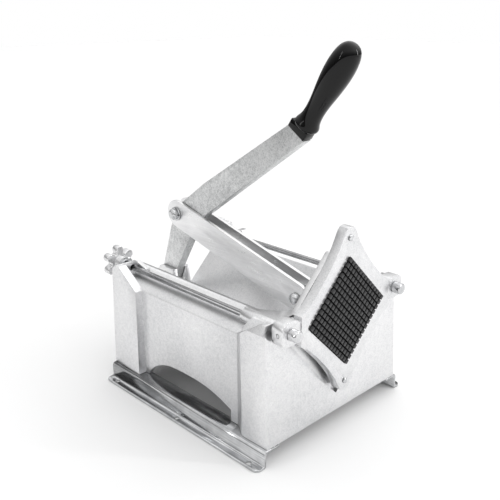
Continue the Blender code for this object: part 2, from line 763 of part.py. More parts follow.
def build_blades(label, turn, start):
    """Parallel blades in one strip-framed set: a square with long slots."""
    half = BLADE_SET / 2
    run = OPENING / 2
    centre = (0.0, OPENING_HEIGHT)
    outline = [
        turned_point(centre, corner, turn)
        for corner in ((-half, -half), (half, -half), (half, half), (-half, half))
    ]
    slots = []
    for index in range(CELLS):
        low = -run + index * CELL + BLADE_THICK / 2
        high = low + CELL - BLADE_THICK
        corners = ((low, -run), (high, -run), (high, run), (low, run))
        slots.append([turned_point(centre, corner, turn) for corner in corners])
    blades = plate("blades_" + label, "Y", outline, start, start + BLADE_DEPTH, slots)
    return add(blades, BLADE)


blade_back = FRAME_RIM_BACK - TOUCH_GAP
build_blades("rising_left", 45.0, blade_back - BLADE_DEPTH)
build_blades("rising_right", -45.0, blade_back - 2 * BLADE_DEPTH - TOUCH_GAP + 0.1)


def build_screw(name, axis, centre, shank, head, start, end, head_length, mat, sides=24):
    """A screw along an axis: head at start, shank to end."""
    toward = 1.0 if end > start else -1.0
    spot = list(centre)
    spot["XYZ".index(axis)] = start
    profile = [
        (0.0, 0.0),
        (head * 0.36, 0.0),
        (head / 2, head_length * 0.35),
        (head / 2, head_length),
        (shank / 2, head_length),
        (shank / 2, abs(end - start)),
        (0.0, abs(end - start)),
    ]
    profile = [(radius, along * toward) for radius, along in profile]
    return add(smooth(turned(name, axis, spot, profile, sides)), mat)


keeper_back = FRAME_FRONT + FRAME_THICK + TOUCH_GAP
for label, side in (("top", 1), ("bottom", -1)):
    spot = (0.0, 0.0, OPENING_HEIGHT + side * BLADE_SCREW_OFFSET)
    build_screw(
        "blade_screw_" + label, "Y", spot, BLADE_SCREW, 6.6,
        FRAME_FRONT - 1.8, keeper_back + 3.4, 1.8 - TOUCH_GAP, POLISHED, 16,
    )
    nut = rod("blade_nut_" + label, "Y", spot, 3.9, keeper_back, keeper_back + 3.0, 6)
    cut(nut, rod("bore", "Y", spot, BLADE_SCREW / 2 + 0.15, keeper_back - 5, keeper_back + 9, 16))
    add(nut, POLISHED)


# ================================================================ tie rods and knobs
def star_outline(centre):
    """Round-ended lobes set round a hub (x, z)."""
    points = []
    reach = KNOB_RADIUS - KNOB_LOBE
    for lobe in range(KNOB_LOBES):
        toward = 90.0 + 360.0 * lobe / KNOB_LOBES
        middle = turned_point(centre, (reach, 0.0), toward)
        points += arc(middle, KNOB_LOBE, toward - 85.0, toward + 85.0, 8)
        gap = toward + 180.0 / KNOB_LOBES
        points += [turned_point(centre, (KNOB_WAIST, 0.0), gap + turn) for turn in (-7.0, 7.0)]
    return points


def build_rod_set(side, label):
    spot = (side * ROD_X, 0.0, ROD_Z)
    top_lean = (ROD_Z - HOUSING_FOOT) / DRAFT_HEIGHT
    post_back = HOUSING_BACK - SIDE_DRAFT * (top_lean - 0.14)
    washer_start = post_back + TOUCH_GAP
    knob_start = washer_start + WASHER_THICK + TOUCH_GAP
    star_start = knob_start + KNOB_HUB_LENGTH
    knob_end = star_start + KNOB_THICK
    head_front = FRAME_FRONT - ROD_HEAD_LENGTH
    profile = [
        (0.0, head_front),
        (ROD_HEAD / 2 - 1.0, head_front),
        (ROD_HEAD / 2, head_front + 1.0),
        (ROD_HEAD / 2, FRAME_FRONT + 1.0 - TOUCH_GAP),
        (ROD / 2, FRAME_FRONT + 1.0 - TOUCH_GAP),
        (ROD / 2, star_start + KNOB_THICK - 3.0),
        (0.0, star_start + KNOB_THICK - 3.0),
    ]
    add(smooth(turned("tie_rod_" + label, "Y", (spot[0], 0.0, spot[2]), profile, 32)), POLISHED)

    hole = (spot[0], spot[2])
    washer = plate(
        "knob_washer_" + label, "Y", circle(hole, WASHER / 2, 32),
        washer_start, washer_start + WASHER_THICK, [circle(hole, ROD / 2 + HOLE_GAP, 24)],
    )
    add(washer, POLISHED)

    knob = rod("star_knob_" + label, "Y", spot, KNOB_HUB / 2, knob_start, star_start + 2.0, 32)
    star = plate("star", "Y", star_outline(hole), star_start, knob_end)
    join(knob, star)
    cut(knob, rod("bore", "Y", spot, ROD / 2 + RUN_GAP, knob_start - 5.0, knob_end - 2.6, 24))
    add(smooth(knob, 50.0), CAST)

    screw_start = side * (ROD_X + EAR_RADIUS + 0.4)
    screw_end = side * (ROD_X + ROD / 2 + HOLE_GAP + 2.2)
    y = (FRAME_FRONT + EAR_BACK) / 2
    spot = (0.0, y, ROD_Z)
    build_screw("ear_screw_" + label, "X", spot, 3.4, 4.0, screw_start, screw_end, 1.0, POLISHED, 12)


for label, side in (("left", -1), ("right", 1)):
    build_rod_set(side, label)


# ================================================================ pusher
def finger_line(share):
    """Place of a grid line across the block, share running from -0.5 to 0.5."""
    cell, side = divmod(round((share + 0.5) * (2 * CELLS - 1)), 2)
    return cell * CELL + side * FINGER - (CELL * (CELLS - 1) + FINGER) / 2


def is_finger(face):
    """Whether a face of the block's front is the root of a finger."""
    if any(abs(vert.co.z) > 0.00001 for vert in face.verts):
        return False
    xs = [vert.co.x for vert in face.verts]
    ys = [vert.co.y for vert in face.verts]
    wide = FINGER * MM * 0.99
    narrow = FINGER * MM * 1.01
    return wide < max(xs) - min(xs) < narrow and wide < max(ys) - min(ys) < narrow


def build_fingers():
    """The black block: a square plate with a square finger for every cell."""
    bm = bmesh.new()
    lines = 2 * CELLS - 1
    bmesh.ops.create_grid(bm, x_segments=lines, y_segments=lines, size=0.5)
    for vert in bm.verts:
        vert.co.x = finger_line(vert.co.x) * MM
        vert.co.y = finger_line(vert.co.y) * MM
    back = bmesh.ops.extrude_face_region(bm, geom=bm.faces[:])["geom"]
    moved = [item for item in back if isinstance(item, bmesh.types.BMVert)]
    bmesh.ops.translate(bm, vec=(0.0, 0.0, -FINGER_PLATE * MM), verts=moved)
    roots = [face for face in bm.faces if is_finger(face)]
    tips = bmesh.ops.extrude_discrete_faces(bm, faces=roots)["faces"]
    verts = [vert for face in tips for vert in face.verts]
    bmesh.ops.translate(bm, vec=(0.0, 0.0, (FINGER_BACK - FINGER_TIP) * MM), verts=verts)
    bmesh.ops.dissolve_limit(bm, angle_limit=math.radians(0.5), verts=bm.verts, edges=bm.edges)
    bmesh.ops.recalc_face_normals(bm, faces=bm.faces)
    spot = Matrix.Translation(Vector((0.0, FINGER_BACK, OPENING_HEIGHT)) * MM)
    turn = spot @ Matrix.Rotation(math.radians(45.0), 4, "Y") @ PLANE_TURN["Y"]
    bmesh.ops.transform(bm, matrix=turn, verts=bm.verts)
    return add(from_bmesh("finger_block", bm), FINGER_BLACK)


build_fingers()


def build_pusher_head():
    """Aluminium plate behind the fingers, with an open hook for the push pin."""
    span = CELL * (CELLS - 1) + FINGER
    front = FINGER_BACK + FINGER_PLATE + TOUCH_GAP
    back = front + HEAD_THICK
    head = plate("pusher_head", "Y", diamond(span / 2, 3.0), front, back)
    pin = (PUSH_PIN_Y, OPENING_HEIGHT)
    room = PUSH_PIN / 2 + RUN_GAP
    tail = PUSH_PIN_Y + room + PIN_DRIFT_Y
    top = OPENING_HEIGHT + 15.0
    lug = [
        (back - 2.0, OPENING_HEIGHT - 26.0),
        (PUSH_PIN_Y - 6.0, OPENING_HEIGHT - 16.0),
        (PUSH_PIN_Y + 8.0, OPENING_HEIGHT - 12.0),
        (tail + 3.0, OPENING_HEIGHT - 1.0),
        (tail + 5.0, top - 6.0),
        (tail + 0.5, top - 6.0),
    ]
    lug += arc(pin, room, 0.0, -180.0, 10)
    lug += [
        (PUSH_PIN_Y - room, top),
        (PUSH_PIN_Y - room - 8.0, top + 4.0),
        (back - 2.0, OPENING_HEIGHT + 26.0),
    ]
    ribs = [plate("lug", "X", lug, -LUG_HALF, LUG_HALF)]
    join(head, *ribs)
    bores = []
    for u in (-1, 1):
        for v in (-1, 1):
            half = HEAD_SCREW_PITCH / 2
            offset = turned_point((0.0, OPENING_HEIGHT), (u * half, v * half), 45.0)
            spot = (offset[0], 0.0, offset[1])
            bores.append(rod("bore", "Y", spot, HEAD_SCREW / 2 + HOLE_GAP, front - 5.0, back + 20.0, 14))
    cut(head, *bores)
    add(smooth(head, 30.0), CAST)
    return front, back


HEAD_FRONT, HEAD_BACK = build_pusher_head()
for number, (u, v) in enumerate(((-1, -1), (1, -1), (1, 1), (-1, 1)), start=1):
    half = HEAD_SCREW_PITCH / 2
    offset = turned_point((0.0, OPENING_HEIGHT), (u * half, v * half), 45.0)
    spot = (offset[0], 0.0, offset[1])
    build_screw(
        "pusher_screw_%d" % number, "Y", spot, HEAD_SCREW, 8.0,
        HEAD_BACK + TOUCH_GAP + 2.6, HEAD_FRONT, 2.6, POLISHED, 14,
    )


# ================================================================ links
LINK_TILT = math.degrees(math.atan2(ELBOW_Z - OPENING_HEIGHT, ELBOW_Y - PUSH_PIN_Y))


def build_link(side, label):
    front = (PUSH_PIN_Y, OPENING_HEIGHT)
    rear = (ELBOW_Y, ELBOW_Z)
    radius = LINK_HEIGHT / 2
    outline = arc(front, radius, 90.0 + LINK_TILT, 270.0 + LINK_TILT, 16)
    outline += arc(rear, radius, -90.0 + LINK_TILT, 90.0 + LINK_TILT, 16)
    holes = [circle(front, PUSH_PIN / 2 + TOUCH_GAP, 24), circle(rear, ELBOW_BOLT / 2 + TOUCH_GAP, 24)]
    start, end = sorted((side * LINK_INNER, side * (LINK_INNER + LINK_THICK)))
    link = plate("link_" + label, "X", outline, start, end, holes)
    return add(soften(link, 0.6, 1, 50.0), CAST)


for label, side in (("left", -1), ("right", 1)):
    build_link(side, label)

link_out = LINK_INNER + LINK_THICK


def build_bolt(name, y, z, diameter, head, reach):
    """A bolt along X with its round head on the left."""
    profile = [
        (0.0, -reach - 7.0),
        (head * 0.30, -reach - 7.0),
        (head * 0.5, -reach - 4.4),
        (head * 0.5, -reach),
        (diameter / 2, -reach),
        (diameter / 2, reach + 7.5),
        (diameter / 2 - 1.0, reach + 8.5),
        (0.0, reach + 8.5),
    ]
    return add(smooth(turned(name, "X", (0.0, y, z), profile, 28)), POLISHED)


def build_nut(name, y, z, diameter, across, start, length):
    nut = rod(name, "X", (0.0, y, z), across / math.sqrt(3.0), start, start + length, 6)
    cut(nut, rod("bore", "X", (0.0, y, z), diameter / 2 + 0.2, start - 5.0, start + length + 5.0, 24))
    return add(nut, POLISHED)


def build_washer(name, y, z, diameter, outside, start, thick):
    rings = [circle((y, z), diameter / 2 + TOUCH_GAP, 24)]
    washer = plate(name, "X", circle((y, z), outside / 2, 32), start, start + thick, rings)
    return add(washer, POLISHED)


washer_thick = 1.4
seat = link_out + 2 * TOUCH_GAP + washer_thick
build_bolt("elbow_bolt", ELBOW_Y, ELBOW_Z, ELBOW_BOLT, ELBOW_HEAD, seat)
near = link_out + TOUCH_GAP
build_washer("elbow_washer_left", ELBOW_Y, ELBOW_Z, ELBOW_BOLT, 18.0, -near - washer_thick, washer_thick)
build_washer("elbow_washer_right", ELBOW_Y, ELBOW_Z, ELBOW_BOLT, 18.0, near, washer_thick)
build_nut("elbow_nut", ELBOW_Y, ELBOW_Z, ELBOW_BOLT, 13.0, seat, 6.5)

pin_seat = link_out + TOUCH_GAP
build_bolt("push_pin", PUSH_PIN_Y, OPENING_HEIGHT, PUSH_PIN, 13.0, pin_seat)
build_nut("push_pin_nut", PUSH_PIN_Y, OPENING_HEIGHT, PUSH_PIN, 13.0, pin_seat, 6.5)


# ================================================================ lever
def arm_end_corners(along):
    """Upper and lower corner of the arm's end, or of a section that far along the grip's axis."""
    axis = 180.0 - GRIP_PITCH
    origin = (GRIP_Y, GRIP_Z)
    start = along - ARM_END_BACK
    upper = turned_point(origin, (start, -(ARM_END / 2 + ARM_END_SHIFT)), axis)
    lower = turned_point(origin, (start, ARM_END / 2 - ARM_END_SHIFT), axis)
    return upper, lower


def build_lever():
    """One casting: leg up from the pivot, elbow, and the arm that holds the grip."""
    pivot = (PIVOT_Y, PIVOT_Z)
    upper, lower = arm_end_corners(0.0)
    outline = arc(pivot, 13.0, 15.0, -165.0, 12)
    outline += [
        (PIVOT_Y - 19.5, PIVOT_Z + 14.0),
        (ELBOW_Y - 26.0, ELBOW_Z - 19.0),
        (ELBOW_Y - 36.0, ELBOW_Z - 3.0),
        (ELBOW_Y - 53.7, ELBOW_Z + 9.0),
        lower,
        upper,
        (ELBOW_Y - 50.0, ELBOW_Z + 9.0 + ARM_ROOT),
        (ELBOW_Y - 9.0, ELBOW_Z + 17.0),
        (ELBOW_Y + 5.0, ELBOW_Z + 9.0),
        (ELBOW_Y + 12.0, ELBOW_Z + 1.0),
        (ELBOW_Y + 14.0, ELBOW_Z - 11.0),
        (PIVOT_Y + 7.0, PIVOT_Z + 17.0),
    ]
    lever = plate("lever", "X", outline, -LEVER_HALF, LEVER_HALF)
    bores = [
        rod("elbow_bore", "X", (0, ELBOW_Y, ELBOW_Z), ELBOW_BOLT / 2 + TOUCH_GAP, -30.0, 30.0, 24),
        rod("pivot_bore", "X", (0, PIVOT_Y, PIVOT_Z), PIVOT_PIN / 2 + RUN_GAP, -30.0, 30.0, 24),
    ]
    cut(lever, *bores)
    return add(lever, CAST)


build_lever()
build_reach = LEVER_HALF + RUN_GAP + 0.3 + LUG_THICK + TOUCH_GAP
pin_profile = [
    (0.0, -build_reach - 4.0),
    (PIVOT_PIN * 0.6, -build_reach - 4.0),
    (PIVOT_PIN * 0.8, -build_reach - 2.5),
    (PIVOT_PIN * 0.8, -build_reach),
    (PIVOT_PIN / 2, -build_reach),
    (PIVOT_PIN / 2, build_reach + 4.0),
    (0.0, build_reach + 4.0),
]
add(smooth(turned("pivot_pin", "X", (0.0, PIVOT_Y, PIVOT_Z), pin_profile, 28)), POLISHED)
build_washer("pivot_clip", PIVOT_Y, PIVOT_Z, PIVOT_PIN - 0.2, 17.0, build_reach, 2.0)


# ---------------------------------------------------------------- grip
def build_grip():
    """Black handle: flat-sided ferrule over the arm's end, then the turned grip."""
    front_upper, front_lower = arm_end_corners(TOUCH_GAP)
    back_upper, back_lower = arm_end_corners(FERRULE)
    outline = [front_upper, front_lower, back_lower, back_upper]
    ferrule = plate("grip_ferrule", "X", outline, -FERRULE_WIDTH / 2, FERRULE_WIDTH / 2)
    add(soften(ferrule, 1.2, 2), BLACK)
    start = FERRULE - ARM_END_BACK + TOUCH_GAP
    profile = [
        (0.0, start),
        (11.6, start),
        (13.2, start + 1.2),
        (13.9, start + 3.2),
        (13.4, start + 5.6),
        (12.4, start + 7.8),
        (11.3, 18.0),
        (10.7, 22.0),
        (10.4, 28.0),
        (10.7, 35.0),
        (11.5, 43.0),
        (12.8, 52.0),
        (14.0, 62.0),
        (14.8, 71.0),
        (15.1, 79.0),
        (14.9, 86.0),
        (14.1, 93.5),
        (12.8, 99.5),
        (10.8, 104.0),
        (8.0, 107.2),
        (4.6, 109.0),
        (0.0, 109.6),
    ]
    grip = turned("grip", "Z", (0.0, 0.0, 0.0), profile, 32)
    tilt = Matrix.Rotation(math.radians(90.0 - GRIP_PITCH), 4, "X")
    grip.data.transform(Matrix.Translation(Vector((0.0, GRIP_Y, GRIP_Z)) * MM) @ tilt)
    add(smooth(grip, 60.0), BLACK)


build_grip()
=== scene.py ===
"""Looks of the vegetable dicer: finishes, rounded castings and a plain pale studio."""
import json
import math

import bmesh
import bpy
from mathutils import Matrix, Vector


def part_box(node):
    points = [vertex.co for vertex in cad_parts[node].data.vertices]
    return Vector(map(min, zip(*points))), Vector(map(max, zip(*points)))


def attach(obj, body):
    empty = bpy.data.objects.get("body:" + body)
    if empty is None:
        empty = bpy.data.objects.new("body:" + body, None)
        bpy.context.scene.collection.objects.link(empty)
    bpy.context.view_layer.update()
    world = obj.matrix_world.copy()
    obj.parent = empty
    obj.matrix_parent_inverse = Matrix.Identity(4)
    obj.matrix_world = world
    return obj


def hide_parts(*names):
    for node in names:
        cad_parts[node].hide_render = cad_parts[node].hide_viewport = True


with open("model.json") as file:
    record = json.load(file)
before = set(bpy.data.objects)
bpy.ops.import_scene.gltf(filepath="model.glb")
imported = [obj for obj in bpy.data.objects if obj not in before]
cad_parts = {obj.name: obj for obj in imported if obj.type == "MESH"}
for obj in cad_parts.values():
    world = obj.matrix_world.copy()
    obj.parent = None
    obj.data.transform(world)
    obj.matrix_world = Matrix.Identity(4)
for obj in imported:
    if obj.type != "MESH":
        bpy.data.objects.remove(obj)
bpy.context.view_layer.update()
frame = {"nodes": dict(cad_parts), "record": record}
MM = 0.001
MERGE = 0.01 * MM        # corners closer than this are one corner
BODY_OF = {
    node: body
    for body, nodes in frame["record"]["behaviour"]["bodies"].items()
    for node in nodes
}
SLOT_OF = {part["node"]: part["material_slot"] for part in frame["record"]["subparts"]}


# ---------------------------------------------------------------- colours and nodes
def linear(code):
    """sRGB hex to linear RGBA."""
    channels = [int(code[i:i + 2], 16) / 255.0 for i in (1, 3, 5)]
    straight = [c / 12.92 if c <= 0.04045 else ((c + 0.055) / 1.055) ** 2.4 for c in channels]
    return (*straight, 1.0)


def add_node(tree, kind, settings=None, inputs=None, links=None, stops=None):
    """One node with its settings, socket values, incoming links and ramp stops."""
    node = tree.nodes.new(kind)
    for key, value in (settings or {}).items():
        setattr(node, key, value)
    for key, value in (inputs or {}).items():
        node.inputs[key].default_value = value
    for key, source in (links or {}).items():
        tree.links.new(source, node.inputs[key])
    if stops:
        elements = node.color_ramp.elements
        while len(elements) < len(stops):
            elements.new(0.5)
        for element, (position, value) in zip(elements, stops):
            element.position = position
            element.color = value if isinstance(value, tuple) else (value, value, value, 1.0)
    return node


def new_material(name):
    """An empty material's tree with its shader, and the place on the object."""
    material = bpy.data.materials.new(name)
    material.use_nodes = True
    tree = material.node_tree
    tree.nodes.clear()
    shader = add_node(tree, "ShaderNodeBsdfPrincipled")
    add_node(tree, "ShaderNodeOutputMaterial", links={"Surface": shader.outputs["BSDF"]})
    place = add_node(tree, "ShaderNodeTexCoord").outputs["Object"]
    return material, tree, shader, place


def lay_patterns(tree, place, layers):
    """Cloudy patterns laid over each other, and their weighed sum.

    Each layer is the width of its features in millimetres, its detail, its roughness,
    its share in the sum, and how far it is drawn out along each axis, if it is.
    """
    patterns = []
    total = None
    for size_mm, detail, roughness, share, stretch in reversed(layers):
        where = place
        if stretch:
            where = add_node(
                tree, "ShaderNodeMapping", inputs={"Scale": stretch}, links={"Vector": place},
            ).outputs["Vector"]
        pattern = add_node(
            tree, "ShaderNodeTexNoise",
            inputs={"Scale": 1.0 / (size_mm * MM), "Detail": detail, "Roughness": roughness},
            links={"Vector": where},
        ).outputs["Fac"]
        links = {0: pattern} if total is None else {0: pattern, 2: total}
        total = add_node(
            tree, "ShaderNodeMath", {"operation": "MULTIPLY_ADD"}, {1: share, 2: 0.0}, links,
        ).outputs["Value"]
        patterns.insert(0, pattern)
    return total, patterns


def cover(tree, shader, tint, dullness, relief):
    """Colour and roughness, each from a source and its stops, and fine relief.

    The relief is its height, its strength and its depth in millimetres.
    """
    source, stops = tint
    colour = add_node(tree, "ShaderNodeValToRGB", links={"Fac": source}, stops=stops)
    tree.links.new(colour.outputs["Color"], shader.inputs["Base Color"])
    source, stops = dullness
    rough = add_node(tree, "ShaderNodeValToRGB", links={"Fac": source}, stops=stops)
    tree.links.new(rough.outputs["Color"], shader.inputs["Roughness"])
    height, strength, depth_mm = relief
    bump = add_node(
        tree, "ShaderNodeBump", inputs={"Strength": strength, "Distance": depth_mm * MM},
        links={"Height": height},
    )
    tree.links.new(bump.outputs["Normal"], shader.inputs["Normal"])


# ---------------------------------------------------------------- materials
def tumbled_casting(name, dark, mid, light, rough, grain):
    """Sand-cast aluminium, vibratory finished.

    The tumbling leaves a bright satin skin with fine dull specks where the sand's
    pits survive, and broad soft clouding.
    The specks are really 0.2 to 0.4 mm across and are drawn 1.4 mm across to show.
    """
    material, tree, shader, place = new_material(name)
    mixed, (_, patch, speck) = lay_patterns(tree, place, [
        (90.0, 2.0, 0.5, 0.3, None),
        (5.0, 2.0, 0.5, 0.2, None),
        (1.4, 2.0, 0.75, 0.5, None),
    ])
    swell = add_node(tree, "ShaderNodeMath", {"operation": "MULTIPLY"}, {1: 0.6}, {0: patch})
    height = add_node(
        tree, "ShaderNodeMath", {"operation": "MULTIPLY_ADD"}, {1: 0.7},
        {0: speck, 2: swell.outputs["Value"]},
    )
    shiniest, dullest = rough
    cover(
        tree, shader,
        (mixed, [(0.36, linear(dark)), (0.5, linear(mid)), (0.64, linear(light))]),
        (mixed, [(0.36, dullest), (0.64, shiniest)]),
        (height.outputs["Value"], grain, 0.25),
    )
    shader.inputs["Metallic"].default_value = 1.0
    return material


def drawn_metal(name, dark, light, rough, line_mm, along, grain):
    """Metal drawn, turned, ground or rolled: fine lines along one axis.

    The lines are really 0.05 to 0.2 mm apart and are drawn line_mm apart to show.
    """
    material, tree, shader, place = new_material(name)
    stretch = [1.0, 1.0, 1.0]
    stretch["XYZ".index(along)] = 0.02
    mixed, (lines, _) = lay_patterns(tree, place, [
        (line_mm, 4.0, 0.65, 0.6, tuple(stretch)),
        (24.0, 3.0, 0.6, 0.4, None),
    ])
    shiniest, dullest = rough
    cover(
        tree, shader,
        (mixed, [(0.36, linear(dark)), (0.64, linear(light))]),
        (mixed, [(0.35, dullest), (0.65, shiniest)]),
        (lines, grain, 0.05),
    )
    shader.inputs["Metallic"].default_value = 1.0
    return material


def moulded_plastic(name, colour, haze, rough, pit_mm, grain, shine):
    """Moulded black plastic: even colour, faint dust haze and fine pits.

    The pits are really about 0.2 mm across and are drawn pit_mm across to show.
    """
    material, tree, shader, place = new_material(name)
    mixed, (dust, pits) = lay_patterns(tree, place, [
        (16.0, 4.0, 0.6, 0.6, None),
        (pit_mm, 2.0, 0.6, 0.4, None),
    ])
    shiniest, dullest = rough
    cover(
        tree, shader,
        (dust, [(0.35, linear(colour)), (0.75, linear(haze))]),
        (mixed, [(0.35, shiniest), (0.7, dullest)]),
        (pits, grain, 0.1),
    )
    shader.inputs["IOR"].default_value = 1.5
    shader.inputs["Specular IOR Level"].default_value = shine
    return material


# the body's sand-cast aluminium, tumbled bright: satin, nearly white under soft light
HOUSING_CAST = tumbled_casting(
    "sand_cast_aluminium_tumbled", "#cfd0d1", "#e2e2e3", "#eeeeee", (0.27, 0.38), 0.22,
)
# the lever keeps a coarser, greyer skin, because it is only shot-blasted
LEVER_CAST = tumbled_casting(
    "sand_cast_aluminium_blasted", "#a8a9aa", "#d2d3d3", "#ebebeb", (0.34, 0.48), 0.6,
)
# tumbling rubs corners and edges smooth and bright
WORN_EDGE = tumbled_casting(
    "cast_aluminium_worn_edge", "#dcdcdd", "#ececec", "#f6f6f6", (0.18, 0.28), 0.1,
)
# bolts, nuts and screws are bright turned steel with faint lathe lines
TURNED = drawn_metal(
    "turned_steel_bright", "#b4b5b7", "#e2e3e4", (0.08, 0.2), 0.8, "X", 0.15,
)
# the tie rods are drawn steel: mirror-like, with faint lines along them
ROD_STEEL = drawn_metal(
    "drawn_steel_rod", "#b8b9bb", "#e6e6e7", (0.07, 0.17), 0.7, "Y", 0.15,
)
# the rails are rolled aluminium strip: mirror-like with lines along their length
RAIL_STRIP = drawn_metal(
    "rolled_aluminium_strip", "#a2a3a5", "#dcddde", (0.1, 0.22), 1.3, "Y", 0.25,
)
# the links are flat bars, linished along their length: pale and silky
LINK_BAR = drawn_metal(
    "linished_aluminium_bar", "#e3e3e4", "#f1f1f1", (0.26, 0.36), 1.0, "Y", 0.25,
)
# the blades are ground stainless steel: darker, with a soft gleam
BLADE_STEEL = drawn_metal(
    "ground_stainless_blade", "#8d8e90", "#c8c9cb", (0.16, 0.3), 0.8, "Y", 0.2,
)
# the grip is compression-moulded phenolic, buffed to a deep gloss
GRIP_PHENOLIC = moulded_plastic(
    "phenolic_buffed", "#030303", "#070708", (0.05, 0.1), 1.5, 0.03, 0.3,
)
# the fingers are injection-moulded nylon: dull black with a slight sheen
FINGER_NYLON = moulded_plastic(
    "nylon_moulded", "#1c1c1d", "#2a2a2b", (0.32, 0.45), 1.0, 0.1, 0.4,
)

FINISH = {
    "cast_aluminium": HOUSING_CAST,
    "polished_steel": TURNED,
    "rail_aluminium": RAIL_STRIP,
    "blade_steel": BLADE_STEEL,
    "gloss_black": GRIP_PHENOLIC,
    "matte_black": FINGER_NYLON,
}
SPECIAL = {
    "lever": LEVER_CAST,
    "link_left": LINK_BAR,
    "link_right": LINK_BAR,
    "tie_rod_left": ROD_STEEL,
    "tie_rod_right": ROD_STEEL,
}


def finish_of(node):
    """The node's own finish, or else the one of its material slot."""
    return SPECIAL.get(node, FINISH[SLOT_OF[node]])


for name in SLOT_OF:
    mesh = frame["nodes"][name].data
    mesh.materials.clear()
    mesh.materials.append(finish_of(name))


# ---------------------------------------------------------------- pieces
FLAT_ANGLE = 0.6         # degrees; facets that bend less are one flat face
EDGE_ANGLE = 32.0        # degrees; edges that bend less stay as they are
CREASE_ANGLE = 50.0      # degrees; the grip's only hard edge is at its mouth
# how far edges are broken, in millimetres, and in how many steps
SMALL_ROUNDING = (0.25, 1)
ROUNDING = {
    "housing": (0.55, 2),
    "blade_frame": (1.4, 3),
    "lever": (1.6, 3),
    "link_left": (0.9, 2),
    "link_right": (0.9, 2),
    "pusher_head": (0.8, 2),
    "finger_block": (0.35, 1),
    "star_knob_left": (2.2, 3),
    "star_knob_right": (2.2, 3),
    "grip_ferrule": (0.9, 3),
    "rail_left": (0.35, 1),
    "rail_right": (0.35, 1),
    "elbow_nut": (0.5, 2),
    "push_pin_nut": (0.5, 2),
    "blade_nut_top": (0.4, 1),
    "blade_nut_bottom": (0.4, 1),
}
# the ground blades keep their sharp edges, and the grip is turned anew
NOT_ROUNDED = {"blades_rising_left", "blades_rising_right", "grip"}


def hand_over(piece, node):
    """A finished piece stands for its CAD node on the same body."""
    if not piece.data.materials:
        piece.data.materials.append(finish_of(node))
    bpy.context.scene.collection.objects.link(piece)
    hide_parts(node)
    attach(piece, BODY_OF[node])


def merged_copy(node):
    """The node's solid with its doubles merged and its flat faces made whole."""
    bm = bmesh.new()
    bm.from_mesh(frame["nodes"][node].data)
    bmesh.ops.remove_doubles(bm, verts=bm.verts, dist=MERGE)
    bmesh.ops.dissolve_limit(
        bm, angle_limit=math.radians(FLAT_ANGLE), verts=bm.verts, edges=bm.edges,
        use_dissolve_boundaries=False,
    )
    return bm


def as_piece(bm, name):
    """The finished mesh as a smooth-shaded object."""
    mesh = bpy.data.meshes.new(name)
    bm.to_mesh(mesh)
    bm.free()
    for face in mesh.polygons:
        face.use_smooth = True
    return bpy.data.objects.new(name, mesh)


def build_rounded(node, width_mm, segments):
    """The node's own shape with its edges broken, as casting and tumbling leave them."""
    piece = as_piece(merged_copy(node), node + "_rounded")
    bevel = piece.modifiers.new("Edges", "BEVEL")
    bevel.width = width_mm * MM
    bevel.segments = segments
    bevel.limit_method = "ANGLE"
    bevel.angle_limit = math.radians(EDGE_ANGLE)
    bevel.use_clamp_overlap = True
    bevel.harden_normals = True
    if SLOT_OF[node] == "cast_aluminium":
        piece.data.materials.append(finish_of(node))
        piece.data.materials.append(WORN_EDGE)
        bevel.material = 1
    hand_over(piece, node)


for node_name in sorted(SLOT_OF):
    if node_name not in NOT_ROUNDED:
        build_rounded(node_name, *ROUNDING.get(node_name, SMALL_ROUNDING))

GRIP_PITCH = 55.0        # degrees above level, as the arm's end holds it
GRIP_STEPS = 48
# radius and distance along the grip, in millimetres, from the ferrule to the rounded end
GRIP_PROFILE = [
    (0.0, 6.8), (10.6, 6.8), (12.6, 7.2), (13.6, 8.6), (13.9, 10.4), (13.3, 12.6),
    (12.3, 14.8), (11.3, 18.0), (10.7, 22.0), (10.4, 28.0), (10.7, 35.0), (11.5, 43.0),
    (12.8, 52.0), (14.0, 62.0), (14.8, 71.0), (15.1, 79.0), (14.9, 86.0), (14.1, 93.5),
    (12.8, 99.5), (10.8, 104.0), (8.0, 107.2), (4.6, 109.0), (0.0, 109.6),
]


def build_grip():
    """Turned phenolic grip with a thumb lip at its neck, pushed on the ferrule's tang."""
    low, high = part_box("grip")
    bm = bmesh.new()
    previous = bm.verts.new((0.0, 0.0, GRIP_PROFILE[0][1] * MM))
    for radius, along in GRIP_PROFILE[1:]:
        vert = bm.verts.new((radius * MM, 0.0, along * MM))
        bm.edges.new((previous, vert))
        previous = vert
    bmesh.ops.spin(
        bm, geom=bm.verts[:] + bm.edges[:], cent=(0.0, 0.0, 0.0), axis=(0.0, 0.0, 1.0),
        angle=math.tau, steps=GRIP_STEPS, use_merge=True, use_duplicate=False,
    )
    bmesh.ops.remove_doubles(bm, verts=bm.verts, dist=MERGE)
    bmesh.ops.recalc_face_normals(bm, faces=bm.faces)
    bmesh.ops.transform(
        bm, matrix=Matrix.Rotation(math.radians(90.0 - GRIP_PITCH), 4, "X"), verts=bm.verts,
    )
    # the far end of the turned solid sets where it sits
    top = max(vert.co.z for vert in bm.verts)
    front = min(vert.co.y for vert in bm.verts)
    bmesh.ops.translate(bm, vec=(0.0, low[1] - front, high[2] - top), verts=bm.verts)
    piece = as_piece(bm, "grip_turned")
    piece.data.set_sharp_from_angle(angle=math.radians(CREASE_ANGLE))
    detail = piece.modifiers.new("Smooth", "SUBSURF")
    detail.levels = 1
    detail.render_levels = 1
    hand_over(piece, "grip")


build_grip()

# ---------------------------------------------------------------- studio
FLOOR_HALF = 8.0
CEILING = 1.72           # its brightness; the camera itself sees plain white
